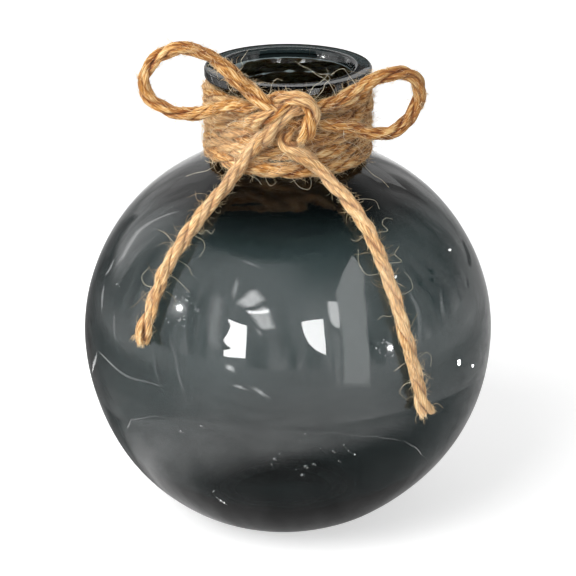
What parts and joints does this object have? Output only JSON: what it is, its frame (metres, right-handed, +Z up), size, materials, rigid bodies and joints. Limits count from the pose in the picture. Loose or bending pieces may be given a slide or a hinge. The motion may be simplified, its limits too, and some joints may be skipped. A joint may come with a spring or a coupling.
{
  "type": "sphere vase",
  "caption": "Ball-shaped smoked glass vase with a short neck and flat rim, the neck wound with jute twine that is tied in a bow with hanging tails.",
  "frame": {"origin": "middle of the base, on the surface that the vase stands on", "axes": "+Z up along the vase's axis, -Y towards the bow at the front, +X to the right seen from the front"},
  "size_m": [0.18, 0.18, 0.2249],
  "materials": {
    "smoked_glass": "clear smoke-grey blown glass with a faint green cast, fire-polished, with a few seeds",
    "jute": "natural golden-brown jute, loosely twisted from three hairy strands, matte"
  },
  "bodies": {
    "root": {"glass_vase": "smoked_glass", "neck_winding": "jute", "bow_knot_over": "jute", "bow_knot_under": "jute", "bow_loop_left": "jute", "bow_loop_right": "jute", "bow_tail_left": "jute", "bow_tail_right": "jute"}
  },
  "joints": []
}
